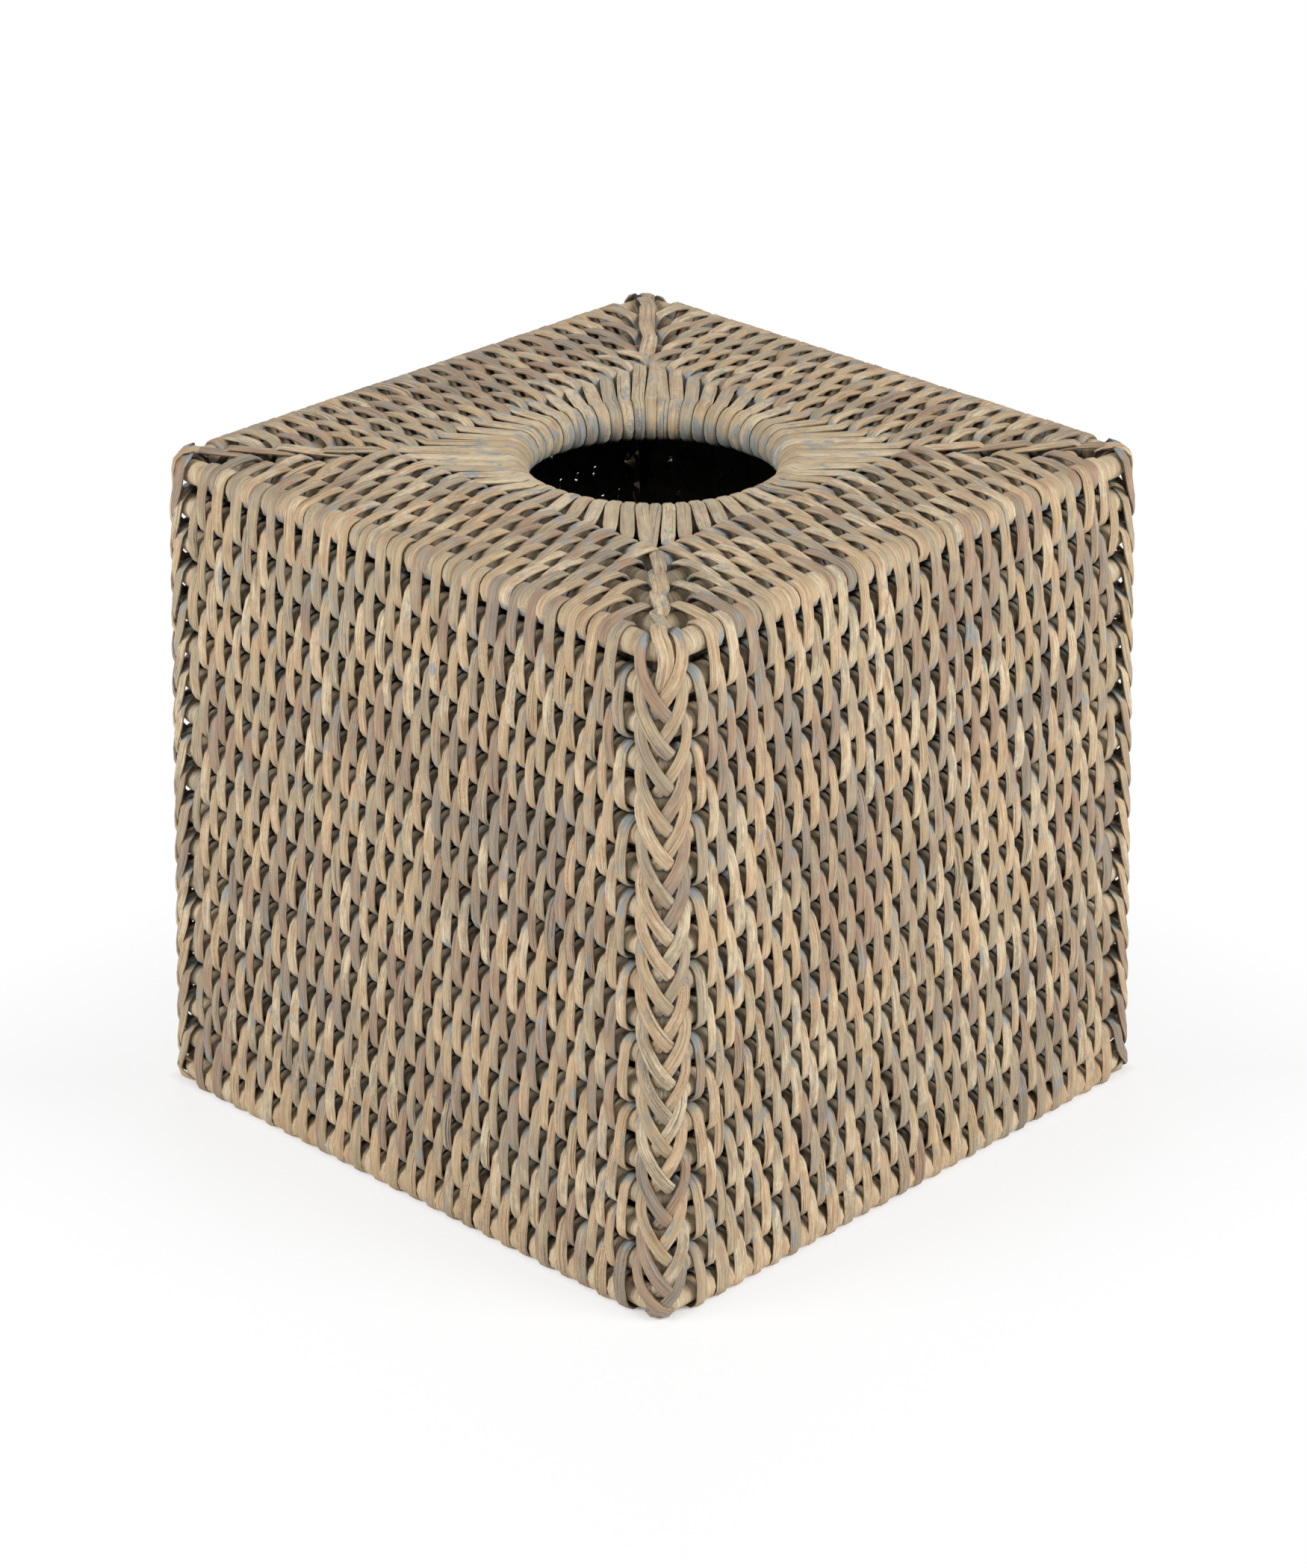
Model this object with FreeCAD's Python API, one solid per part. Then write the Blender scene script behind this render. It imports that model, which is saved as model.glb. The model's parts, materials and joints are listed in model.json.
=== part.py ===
import FreeCAD, Part
import math
import os

from FreeCAD import Vector

# Woven rattan cover that drops over a cube-shaped tissue box.
# Millimetres, Z up. The origin is on the floor, below the centre of the round opening.

# Overall sizes, over the lacing
height = 144.0
top_width = 142.0
bottom_width = 148.0
opening_diameter = 49.5

# Canes
cane_diameter = 5.2
hoop_diameter = 7.4
corner_bend = 4.0          # bend radius of a square cane at its centreline
wall_gap = 2.3             # least gap between neighbouring wall canes
top_gap = 1.75             # gap between neighbouring top canes
hoop_room = 1.5            # least gap between the hoop and the innermost top cane

# Flat split strands
strand_thickness = 0.8
strand_width = 2.4
strand_gap = 0.22          # between neighbouring strands along a cane
lacing_clearance = 0.05    # between a strand and what it is wrapped round
hoop_clearance = 0.4       # between the hoop and the straps round it
rest_flat = 0.3            # depth to which the strands under the rim are pressed flat
strap_width = 1.8          # straps round the opening
strap_gap = 0.7

# Corner braids and mitre straps
braid_width = 3.2
braid_slope = 50.0         # degrees below level
braid_reach = 5.5          # from the corner of a cane's centreline along the wall
braid_turn = 65.0          # degrees of the corner's bend that a strap goes round
mitre_width = 3.0
mitre_overlap = 1.5

SIDES = ("front", "right", "back", "left")
CORNERS = ("front_left", "front_right", "back_right", "back_left")
QUARTER = 90.0
UP = Vector(0, 0, 1)
ORIGIN = Vector(0, 0, 0)

# Sizes that follow from the ones above
cane_r = cane_diameter / 2
hoop_r = hoop_diameter / 2
wrap_r = cane_r + lacing_clearance
lacing_r = wrap_r + strand_thickness
hoop_wrap_r = hoop_r + hoop_clearance

rim_z = lacing_r - rest_flat
edge_z = height - lacing_r
rim_half = bottom_width / 2 - lacing_r
edge_half = top_width / 2 - lacing_r
lean = (edge_half - rim_half) / (edge_z - rim_z)

wall_steps = int((edge_z - rim_z) / (cane_diameter + wall_gap))
wall_pitch = (edge_z - rim_z) / wall_steps
hoop_half = opening_diameter / 2 + strand_thickness + hoop_wrap_r
hoop_z = edge_z + wrap_r - hoop_wrap_r
top_pitch = cane_diameter + top_gap
innermost = hoop_half + hoop_r + hoop_room + cane_r
top_count = int((edge_half - innermost) / top_pitch)
stitch_pitch = 2 * (strand_width + strand_gap)
corner_zone = braid_reach + strand_gap + strand_width / 2
mitre_zone = corner_bend + strand_gap + strand_width / 2


def half_at(z):
    """Distance of a wall cane's centreline from the middle, at a height."""
    return rim_half + lean * (z - rim_z)


def turned(shape, quarter):
    """Copy of a shape made for the front side, turned to another side."""
    copy = shape.copy()
    copy.rotate(ORIGIN, UP, QUARTER * quarter)
    return copy


def moved(shape, offset):
    copy = shape.copy()
    copy.translate(offset)
    return copy


def save(name, solids):
    """Write one node, a solid or a group of separate solids."""
    shape = solids[0] if len(solids) == 1 else Part.makeCompound(solids)
    shape.exportStep("parts/%s.step" % name)


def square_cane(half, z):
    """Round cane bent into a square ring."""
    run = half - corner_bend
    knee = run + corner_bend / math.sqrt(2)
    edges = []
    for quarter in range(len(SIDES)):
        straight = Part.LineSegment(Vector(-run, -half, z), Vector(run, -half, z)).toShape()
        bend = Part.Arc(Vector(run, -half, z), Vector(knee, -knee, z), Vector(half, -run, z)).toShape()
        edges += [turned(straight, quarter), turned(bend, quarter)]
    profile = Part.Wire(Part.makeCircle(cane_r, Vector(-run, -half, z), Vector(1, 0, 0)))
    return Part.Wire(edges).makePipeShell([profile], True, False)


def belt_outline(place, p1, r1, p2, r2):
    """Closed outline round two circles, in a plane that place maps to space."""
    along = (p2 - p1).normalize()
    across = Vector(-along.y, along.x, 0)
    sine = (r1 - r2) / p1.distanceToPoint(p2)
    cosine = math.sqrt(1 - sine * sine)
    high = along * sine + across * cosine
    low = along * sine - across * cosine
    start = Part.Arc(place(p1 + low * r1), place(p1 - along * r1), place(p1 + high * r1)).toShape()
    upper = Part.LineSegment(place(p1 + high * r1), place(p2 + high * r2)).toShape()
    end = Part.Arc(place(p2 + high * r2), place(p2 + along * r2), place(p2 + low * r2)).toShape()
    lower = Part.LineSegment(place(p2 + low * r2), place(p1 + low * r1)).toShape()
    return Part.Wire([start, upper, end, lower])


def belt(p1, r1, p2, r2, width):
    """Flat strand round two canes of the front side, given as distance from the middle and height."""
    def place(p):
        return Vector(-width / 2, -p.x, p.y)

    inner = belt_outline(place, p1, r1, p2, r2)
    outer = belt_outline(place, p1, r1 + strand_thickness, p2, r2 + strand_thickness)
    face = Part.makeFace([outer, inner], "Part::FaceMakerBullseye")
    return face.extrude(Vector(width, 0, 0))


def ring_wrap(p):
    """Flat strand round one cane of the front side, given as in belt."""
    axis = Vector(1, 0, 0)
    start = Vector(-strand_width / 2, -p.x, p.y)
    outside = Part.makeCylinder(lacing_r, strand_width, start, axis)
    return outside.cut(Part.makeCylinder(wrap_r, strand_width, start, axis))


def above_floor(solid):
    """Press a strand under the rim flat where the cover stands on it."""
    box = solid.BoundBox
    floor = Part.makeBox(box.XLength, box.YLength, -box.ZMin, Vector(box.XMin, box.YMin, box.ZMin))
    return solid.cut(floor)


def stitch_places(row, limit):
    """Places of the stitches along one row, set half a step aside on every other row."""
    phase = (row % 2) / 2
    last = int(limit / stitch_pitch - phase)
    first = -last - row % 2
    return [(step + phase) * stitch_pitch for step in range(first, last + 1)]


def lacing_row(row, upper, lower):
    """Stitches of the front side round two neighbouring canes."""
    on_wall = lower.y < edge_z
    limit = edge_half - corner_zone if on_wall else upper.x - mitre_zone
    spread = (upper.x + lower.x) / 2 / edge_half if on_wall else 1.0
    stitch = belt(upper, wrap_r, lower, wrap_r, strand_width)
    if lower.y == rim_z:
        stitch = above_floor(stitch)
    return [moved(stitch, Vector(x * spread, 0, 0)) for x in stitch_places(row, limit)]


def rim_wraps(row):
    """Wraps round the rim cane of the front side, between the stitches of the row above."""
    wrap = above_floor(ring_wrap(Vector(rim_half, rim_z, 0)))
    spread = rim_half / edge_half
    return [moved(wrap, Vector(x * spread, 0, 0)) for x in stitch_places(row, edge_half - corner_zone)]


def corner_reach(half):
    """Distance of a square cane's bend from the middle, along the diagonal."""
    return half * math.sqrt(2) - corner_bend * (math.sqrt(2) - 1)


def opening_straps(innermost_half):
    """Straps of one side, from the innermost top cane in over the hoop and back below it."""
    count = int(math.pi * opening_diameter / (strap_width + strap_gap) / len(SIDES))
    hoop = Vector(0, hoop_z, 0)
    knee_half = innermost_half - lacing_r - lacing_clearance
    end_span = innermost_half - strap_width / 2 - 2 * lacing_clearance
    inside = Part.makeBox(2 * innermost_half, knee_half, 2 * height, Vector(-innermost_half, -knee_half, 0))
    knee_place = Vector(knee_half, edge_z, 0)
    cane_place = Vector(innermost_half, edge_z, 0)
    over_cane = belt(knee_place, wrap_r, cane_place, wrap_r, strap_width).cut(inside)
    straps = []
    for index in range(count):
        share = 2 * index / count - 1
        even_angle = math.radians(share * QUARTER / 2)
        angle = (math.atan(share) + even_angle) / 2
        hoop_point = Vector(math.sin(angle), -math.cos(angle), 0) * hoop_half
        knee = Vector(share * end_span, -knee_half, 0)
        if index == 0:
            knee = hoop_point * (corner_reach(innermost_half) / hoop_half)
        aim = knee - hoop_point
        strap = belt(hoop, hoop_wrap_r, Vector(aim.Length, edge_z, 0), wrap_r, strap_width)
        strap.rotate(ORIGIN, UP, math.degrees(math.atan2(aim.x, -aim.y)))
        strap.translate(hoop_point)
        if index > 0:
            strap = strap.common(inside).fuse(moved(over_cane, Vector(knee.x, 0, 0))).removeSplitter()
        straps.append(strap)
    return straps


def braid_strap(layer):
    """Strap of the front wall that slants down round the front left corner, its ridge at mid height."""
    z = height / 2
    bend = half_at(z) - corner_bend
    inside = corner_bend + wrap_r + layer * (strand_thickness + lacing_clearance)
    outside = inside + strand_thickness
    flat = braid_reach - corner_bend

    def on_bend(radius, turn):
        angle = math.radians(turn)
        return Vector(-bend - radius * math.sin(angle), -bend - radius * math.cos(angle), z)

    def side(radius):
        begin = Vector(-bend + flat, -bend - radius, z)
        middle = on_bend(radius, braid_turn / 2)
        end = on_bend(radius, braid_turn)
        straight = Part.LineSegment(begin, on_bend(radius, 0)).toShape()
        arc = Part.Arc(on_bend(radius, 0), middle, end).toShape()
        return begin, end, [straight, arc]

    inner_begin, inner_end, inner_edges = side(inside)
    outer_begin, outer_end, outer_edges = side(outside)
    first_end = Part.LineSegment(outer_begin, inner_begin).toShape()
    last_end = Part.LineSegment(inner_end, outer_end).toShape()
    edges = inner_edges + outer_edges + [first_end, last_end]
    face = Part.Face(Part.Wire(Part.__sortEdges__(edges)))

    rise = Vector(-lean, -lean, 1) * height / 2
    skin = moved(face, rise * -0.5).extrude(rise)
    slope = math.tan(math.radians(braid_slope))
    normal = Vector(-slope, slope, 1)
    thickness = braid_width / math.cos(math.radians(braid_slope)) / normal.Length
    size = height / 2
    slab = Part.makeBox(size, size, thickness, Vector(-size / 2, -size / 2, -thickness / 2))
    slab.Placement = FreeCAD.Placement(Vector(-bend, -bend, z), FreeCAD.Rotation(UP, normal))
    return skin.common(slab)


def corner_braid():
    """Straps of the front left corner, by turns from the front wall and from the left wall."""
    swap = Vector(1, -1, 0)
    front = braid_strap(0)
    left = braid_strap(1).mirror(ORIGIN, swap)
    straps = []
    for strap, start in ((front, 0.0), (left, wall_pitch / 2)):
        box = strap.BoundBox
        lowest = height / 2 - box.ZMin + strand_thickness + start
        highest = edge_z + cane_r - (box.ZMax - height / 2)
        for step in range(int((highest - lowest) / wall_pitch) + 1):
            shift = lowest + step * wall_pitch - height / 2
            straps.append(moved(strap, Vector(-lean, -lean, 1) * shift))
    return straps


def mitre_straps(innermost_half):
    """Shingled straps along the front left diagonal of the top, each laid over the next one out."""
    first = corner_reach(innermost_half) + lacing_r + lacing_clearance + mitre_overlap
    step = (corner_reach(edge_half) - first) / top_count
    slope = math.atan((strand_thickness + lacing_clearance) / step)
    length = (step + 2 * mitre_overlap) / math.cos(slope)
    straps = []
    for number in range(1, top_count + 1):
        strap = Part.makeBox(length, mitre_width, strand_thickness, Vector(-length, -mitre_width / 2, 0))
        strap.rotate(ORIGIN, Vector(0, 1, 0), math.degrees(slope))
        strap.translate(Vector(first + number * step + mitre_overlap, 0, edge_z + wrap_r))
        strap.rotate(ORIGIN, UP, -QUARTER - QUARTER / 2)
        straps.append(strap)
    return straps


def main():
    os.makedirs("parts", exist_ok=True)
    top_halves = [edge_half - top_pitch * step for step in range(top_count, 0, -1)]
    wall_heights = [edge_z - wall_pitch * step for step in range(1, wall_steps)]

    save("top_edge_cane", [square_cane(edge_half, edge_z)])
    save("bottom_rim_cane", [square_cane(rim_half, rim_z)])
    for number, half in enumerate(reversed(top_halves), 1):
        save("top_cane_%d" % number, [square_cane(half, edge_z)])
    for number, z in enumerate(wall_heights, 1):
        save("wall_cane_%02d" % number, [square_cane(half_at(z), z)])
    save("opening_hoop", [Part.makeTorus(hoop_half, hoop_r, Vector(0, 0, hoop_z))])

    # The canes of one side in order, from the innermost of the top to the rim of the wall
    chain = [Vector(half, edge_z, 0) for half in top_halves + [edge_half]]
    chain += [Vector(half_at(z), z, 0) for z in wall_heights + [rim_z]]
    rows = [lacing_row(row, *pair) for row, pair in enumerate(zip(chain, chain[1:]))]
    groups = {
        "top_lacing": sum(rows[:top_count], []),
        "wall_lacing": sum(rows[top_count:], []),
        "rim_wraps": rim_wraps(len(rows)),
        "opening_wrap": opening_straps(top_halves[0]),
    }
    for quarter, side in enumerate(SIDES):
        for group, solids in groups.items():
            save("%s_%s" % (group, side), [turned(solid, quarter) for solid in solids])
    corners = {"corner_braid": corner_braid(), "mitre_straps": mitre_straps(top_halves[0])}
    for quarter, corner in enumerate(CORNERS):
        for group, solids in corners.items():
            save("%s_%s" % (group, corner), [turned(solid, quarter) for solid in solids])


main()
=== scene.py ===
import json
import math
import random
from collections import namedtuple

import bmesh
import bpy
from mathutils import Matrix, Vector

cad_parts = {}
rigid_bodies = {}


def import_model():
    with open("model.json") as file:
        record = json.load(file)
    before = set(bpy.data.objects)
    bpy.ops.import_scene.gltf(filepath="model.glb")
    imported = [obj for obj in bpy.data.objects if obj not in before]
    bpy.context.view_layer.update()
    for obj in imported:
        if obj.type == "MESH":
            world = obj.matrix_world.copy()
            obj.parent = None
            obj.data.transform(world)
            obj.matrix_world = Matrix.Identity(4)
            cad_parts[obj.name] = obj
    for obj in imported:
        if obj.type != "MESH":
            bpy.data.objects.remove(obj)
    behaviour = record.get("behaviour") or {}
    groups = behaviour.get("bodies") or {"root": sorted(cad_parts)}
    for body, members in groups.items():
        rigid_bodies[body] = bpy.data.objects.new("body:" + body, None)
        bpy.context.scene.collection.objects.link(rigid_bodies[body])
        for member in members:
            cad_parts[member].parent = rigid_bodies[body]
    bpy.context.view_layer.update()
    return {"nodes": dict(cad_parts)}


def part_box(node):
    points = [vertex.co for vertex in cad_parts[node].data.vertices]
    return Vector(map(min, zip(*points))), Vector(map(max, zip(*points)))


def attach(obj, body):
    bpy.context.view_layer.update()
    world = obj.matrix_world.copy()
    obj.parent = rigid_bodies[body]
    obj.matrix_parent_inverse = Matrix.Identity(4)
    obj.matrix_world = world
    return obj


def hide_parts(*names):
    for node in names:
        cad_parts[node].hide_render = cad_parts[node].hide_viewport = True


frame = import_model()

# A cover woven from bent rattan canes and flat split strands.
# Metres. The walls and the top are worked out for the front side and turned to the other three.

MM = 0.001
SIDES = ("front", "right", "back", "left")
CORNERS = ("front_left", "front_right", "back_right", "back_left")
scene = bpy.context.scene


# Sizes read from the canes

def ring_of(node):
    """Half width, height and thickness radius of a cane that is bent into a ring."""
    low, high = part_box(node)
    radius = (high.z - low.z) / 2
    return high.x - radius, (low.z + high.z) / 2, radius


edge_half, edge_z, cane_r = ring_of("top_edge_cane")
rim_half, rim_z, _ = ring_of("bottom_rim_cane")
hoop_half, hoop_z, hoop_r = ring_of("opening_hoop")
WALL_CANES = sorted(name for name in frame["nodes"] if name.startswith("wall_cane"))
TOP_CANES = sorted(name for name in frame["nodes"] if name.startswith("top_cane"))
top_halves = [ring_of(name)[0] for name in TOP_CANES]
innermost_half = min(top_halves)
wall_rows = len(WALL_CANES) + 1
wall_pitch = (edge_z - rim_z) / wall_rows
top_pitch = edge_half - max(top_halves)
wall_lean = math.atan2(rim_half - edge_half, edge_z - rim_z)
row_growth = (rim_half - edge_half) / wall_rows

# Sizes of the strands
corner_bend = 4.0 * MM          # bend of a cane at its centreline
strand_thickness = 0.65 * MM
stitch_width = 2.75 * MM
stitch_spacing = 5.24 * MM      # between stitches of one row
rim_wrap_width = 3.3 * MM
corner_strap_width = 2.8 * MM
mitre_width = 3.1 * MM
strap_spread = 2.9 * MM         # width of an opening strap where it crosses the innermost cane
straps_per_side = 15
corner_zone = 5.4 * MM          # wall left to the corner straps, from the edge cane's line
mitre_zone = 2.5 * MM           # top left to the mitre straps, from the line of each row's inner cane
back_run_half = 1.2 * MM        # half the height of a stitch's run behind the canes
back_run_gap = 0.5 * MM         # from the canes to that run
back_run_spread = 1.85          # its width, as a share of the stitch's
widest_strap = 3.0 * MM         # opening strap on the hoop
strap_end_inset = 1.0 * MM      # from the corner of the innermost cane to the last opening strap
knee_run = 3.4 * MM             # from the innermost cane's line to where a strap bends down to it
knee_sink = 0.15 * MM

# Cross-section of a strand: share of half its width, share of its thickness
SECTION = ((-1.0, 0.5), (-0.6, 1.0), (0.6, 1.0), (1.0, 0.5), (0.92, 0.0), (-0.92, 0.0))
SHARP_LINES = (0, 3, 4, 5)

Station = namedtuple("Station", "place face width dip")


def mix(a, b, share):
    return a + (b - a) * share


def between(share, pairs):
    """Value at a share of the way, from pairs of share and value."""
    for (s0, v0), (s1, v1) in zip(pairs, pairs[1:]):
        if share <= s1:
            return mix(v0, v1, (share - s0) / (s1 - s0))
    return pairs[-1][1]


# Strands as meshes

def add_strand(bm, stations, closed):
    """One flat strand through its stations, with its grain and its dips kept for the finish."""
    grain = bm.verts.layers.float_vector["grain"]
    dip = bm.verts.layers.float["dip"]
    count = len(stations)
    rings = []
    along = 0.0
    for number, station in enumerate(stations):
        before = stations[number - 1] if closed or number else station
        after = stations[(number + 1) % count] if closed or number < count - 1 else station
        way = (after.place - before.place).normalized()
        face = (station.face - way * station.face.dot(way)).normalized()
        side = face.cross(way)
        if number:
            along += (station.place - stations[number - 1].place).length
        ring = []
        for across, rise in SECTION:
            aside = across * station.width / 2
            lift = rise * strand_thickness
            vert = bm.verts.new(station.place + (side * aside + face * lift))
            vert[grain] = (along, aside, lift)
            vert[dip] = station.dip
            ring.append(vert)
        rings.append(ring)
    pairs = list(zip(rings, rings[1:]))
    if closed:
        pairs.append((rings[-1], rings[0]))
    else:
        bm.faces.new(rings[0])
        bm.faces.new(reversed(rings[-1]))
    size = len(SECTION)
    for first, second in pairs:
        for line in range(size):
            nearby = (line + 1) % size
            bm.faces.new((first[line], second[line], second[nearby], first[nearby]))
        for line in SHARP_LINES:
            bm.edges.get((first[line], second[line])).smooth = False


def strand_mesh(name, strands, draw=None, closed=True):
    """Mesh of one or more strands. With a draw, each strand gets a tone and a wear of its own."""
    bm = bmesh.new()
    bm.verts.layers.float_vector.new("grain")
    bm.verts.layers.float.new("dip")
    if draw:
        tone = bm.verts.layers.float.new("tone")
        wear = bm.verts.layers.float.new("wear")
    for stations in strands:
        first_vert = len(bm.verts)
        add_strand(bm, stations, closed)
        if draw:
            own_tone = draw.uniform(0.1, 0.9)
            own_wear = draw.random()
            bm.verts.ensure_lookup_table()
            for vert in bm.verts[first_vert:]:
                vert[tone] = own_tone
                vert[wear] = own_wear
    bmesh.ops.recalc_face_normals(bm, faces=bm.faces)
    for face in bm.faces:
        face.smooth = True
    mesh = bpy.data.meshes.new(name)
    bm.to_mesh(mesh)
    bm.free()
    return mesh


def strand_kit(name, meshes):
    """Loose collection of strand shapes for a node tree to pick from."""
    kit = bpy.data.collections.new(name)
    for number, mesh in enumerate(meshes):
        kit.objects.link(bpy.data.objects.new("%s_%02d" % (name, number), mesh))
    return kit


def stitch_stations(pitch, draw, at_edge=False, at_rim=False):
    """Stitch round two canes: over the upper one, down and in below the lower one, back up behind.

    At the top edge the upper cane is the edge cane, and at the rim the lower one is the rim cane.
    There the stitch shows all the way over that cane.
    """
    start_r = cane_r + draw.uniform(0.05, 0.2) * MM
    heel_r = cane_r + draw.uniform(0.6, 0.95) * MM
    bulge = draw.uniform(0.2, 0.5) * MM
    bow = draw.uniform(-0.3, 0.3) * MM
    width = stitch_width * draw.uniform(0.92, 1.06) * (1.15 if at_edge or at_rim else 1.0)
    start_width = 0.95 if at_edge else 0.82
    heel_width = 1.05 if at_rim else 0.68
    widths = ((0.0, start_width), (0.25, mix(start_width, 1.0, 0.5)), (0.5, 1.0), (0.78, 0.95),
              (1.0, heel_width))
    # Turns round each cane in degrees, and how far round the strand shows
    start_turns = (172, 125, 92, 68, 45, 22)
    heel_turns = (8, -16, -38, -60, -82, -110, -165)
    start_shown = 85 if at_edge else 15
    heel_shown = 70 if at_rim else 20
    # Shares of the way: from turn to turn, and where it leaves one cane and meets the next
    start_step, heel_step = 0.048, 0.043
    leaves, meets = 0.24, 0.74
    stations = []

    def add(share, depth, height, face, dip):
        sideways = bow * math.sin(math.pi * share)
        place = Vector((sideways, -depth, height))
        stations.append(Station(place, face, width * between(share, widths), dip))

    def add_turn(turn, share, radius, centre, shown):
        angle = math.radians(turn)
        face = Vector((0, -math.cos(angle), math.sin(angle)))
        dip = min(1.0, max(0.0, (abs(turn) - shown) / 70))
        add(share, radius * math.cos(angle), centre + radius * math.sin(angle), face, dip)

    for step, turn in enumerate(start_turns):
        add_turn(turn, start_step * step, start_r, pitch / 2, start_shown)
    for share in (0.38, 0.56):
        way = (share - leaves) / (meets - leaves)
        depth = mix(start_r, heel_r, way) + bulge * math.sin(math.pi * way)
        add(share, depth, mix(pitch / 2, -pitch / 2, way), Vector((0, -1, 0)), 0.0)
    for step, turn in enumerate(heel_turns):
        add_turn(turn, meets + heel_step * step, heel_r, -pitch / 2, heel_shown)
    for height in (-back_run_half, back_run_half):
        behind = Vector((stitch_spacing / 2, cane_r + back_run_gap, height))
        stations.append(Station(behind, Vector((0, 1, 0)), width * back_run_spread, 1.0))
    return stations


def wrap_stations(draw):
    """Wrap round one cane."""
    radius = cane_r + draw.uniform(0.45, 0.65) * MM
    width = rim_wrap_width * draw.uniform(0.95, 1.08)
    stations = []
    for turn in range(180, -180, -30):
        angle = math.radians(turn)
        face = Vector((0, -math.cos(angle), math.sin(angle)))
        dip = 1.0 if abs(turn) > 90 else abs(turn) / 120
        stations.append(Station(face * radius, face, width, dip))
    return stations


def corner_place(aside, out, height):
    """Spot and outward direction at the front left corner, seen from the bend's centre on a cane.

    Aside is the way round the corner from its ridge, towards the front; out is from the cane's line.
    """
    arc_half = (corner_bend + cane_r) * math.pi / 4
    drift = height * math.tan(wall_lean)
    turn = max(-1.0, min(1.0, aside / arc_half)) * math.pi / 4
    outward = Matrix.Rotation(turn, 3, "Z") @ Vector((-1, -1, 0)).normalized()
    along = Vector((-outward.y, outward.x, 0)) * math.copysign(max(0.0, abs(aside) - arc_half), aside)
    return Vector((drift, drift, height)) + outward * (corner_bend + out) + along, outward


# Corner strap over two canes: way from the ridge, height from its first cane and way out from the
# cane's line, in millimetres, then its dip and its share of the full width
CORNER_ROUTE = (
    (4.1, 2.9, 0.3, 1.0, 0.8), (4.1, 2.5, 1.7, 0.6, 0.85), (4.1, 1.3, 2.75, 0.2, 0.92),
    (4.05, -0.6, 3.15, 0.0, 0.97), (3.8, -2.4, 3.3, 0.0, 1.0), (3.3, -4.2, 3.35, 0.0, 1.0),
    (2.6, -6.0, 3.35, 0.0, 1.0), (1.75, -7.8, 3.3, 0.0, 1.0), (0.8, -9.5, 3.15, 0.0, 1.0),
    (-0.2, -11.1, 2.95, 0.0, 1.0), (-1.1, -12.4, 2.6, 0.2, 0.97), (-1.6, -13.3, 1.9, 0.6, 0.9),
    (-1.9, -13.9, 1.0, 1.0, 0.75))
# Behind the canes, from its end back up to its start
CORNER_RETURN = (
    (-1.6, -14.2, -1.0, 1.0, 0.8), (-0.6, -12.6, -2.9, 1.0, 1.0), (0.8, -9.0, -3.3, 1.0, 1.0),
    (2.0, -4.0, -3.3, 1.0, 1.0), (3.4, 0.5, -3.2, 1.0, 1.0), (3.9, 2.6, -1.4, 1.0, 0.9))
# The same at the rim, where the last straps cross over the cane's bend
RIM_ROUTE = (
    (4.4, 2.9, 0.3, 1.0, 0.8), (4.4, 2.5, 1.7, 0.6, 0.85), (4.4, 1.3, 2.75, 0.2, 0.92),
    (4.2, -0.8, 3.1, 0.0, 1.0), (3.7, -3.0, 3.2, 0.0, 1.0), (2.7, -5.0, 3.35, 0.0, 1.0),
    (1.4, -6.8, 3.35, 0.0, 1.0), (0.0, -8.3, 3.2, 0.0, 1.0), (-1.3, -9.4, 2.6, 0.0, 1.0),
    (-2.2, -10.2, 1.6, 0.3, 0.95), (-2.7, -10.7, 0.2, 0.7, 0.9))


def corner_stations(draw, from_left, route):
    """Corner strap that starts on the front wall, or one from the left wall that lies over it."""
    width = corner_strap_width * draw.uniform(0.86, 1.1)
    wander = draw.uniform(-0.55, 0.55)
    drop = draw.uniform(-0.6, 0.6)
    stations = []
    for aside, height, out, dip, share in route:
        near_ridge = max(0.0, 1.0 - abs(aside) / 2.5)
        out += 0.6 * near_ridge if from_left else -0.15 * near_ridge
        aside = (aside + wander) * (-1 if from_left else 1)
        spot, outward = corner_place(aside * MM, out * MM, (height + drop) * MM)
        stations.append(Station(spot, outward, width * share, dip))
    return stations


def mitre_stations(draw, inner_q, outer_q, last):
    """Diagonal strap on the top, over two cane corners, from the inner one to the outer one."""
    width = mitre_width * draw.uniform(0.85, 1.12)
    sway = draw.uniform(-0.9, 0.9) * MM
    gap = (outer_q - inner_q) / MM
    route = [(-2.6, 1.7, 0.9, 0.75), (-1.4, 2.4, 0.5, 0.9), (0.0, 2.7, 0.1, 1.0)]
    route += [(share * gap, 2.7 + 0.85 * share, 0.0, 1.0) for share in (0.25, 0.5, 0.75)]
    if last:
        route += [(gap - 1.2, 2.9, 0.2, 0.95), (gap - 0.2, 2.2, 0.6, 0.8)]
    else:
        route += [(gap, 3.55, 0.0, 1.0), (gap + 1.5, 3.65, 0.0, 0.9), (gap + 2.6, 3.0, 0.5, 0.6)]
    outward = Vector((-1, -1, 0)).normalized()
    aside = Vector((1, -1, 0)).normalized()
    stations = []
    for number, (way, rise, dip, share) in enumerate(route):
        spot = outward * (inner_q + way * MM) + aside * sway * math.sin(number * 0.7)
        spot.z = edge_z + rise * MM
        stations.append(Station(spot, Vector((0, 0, 1)), width * share, dip))
    return stations


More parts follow.
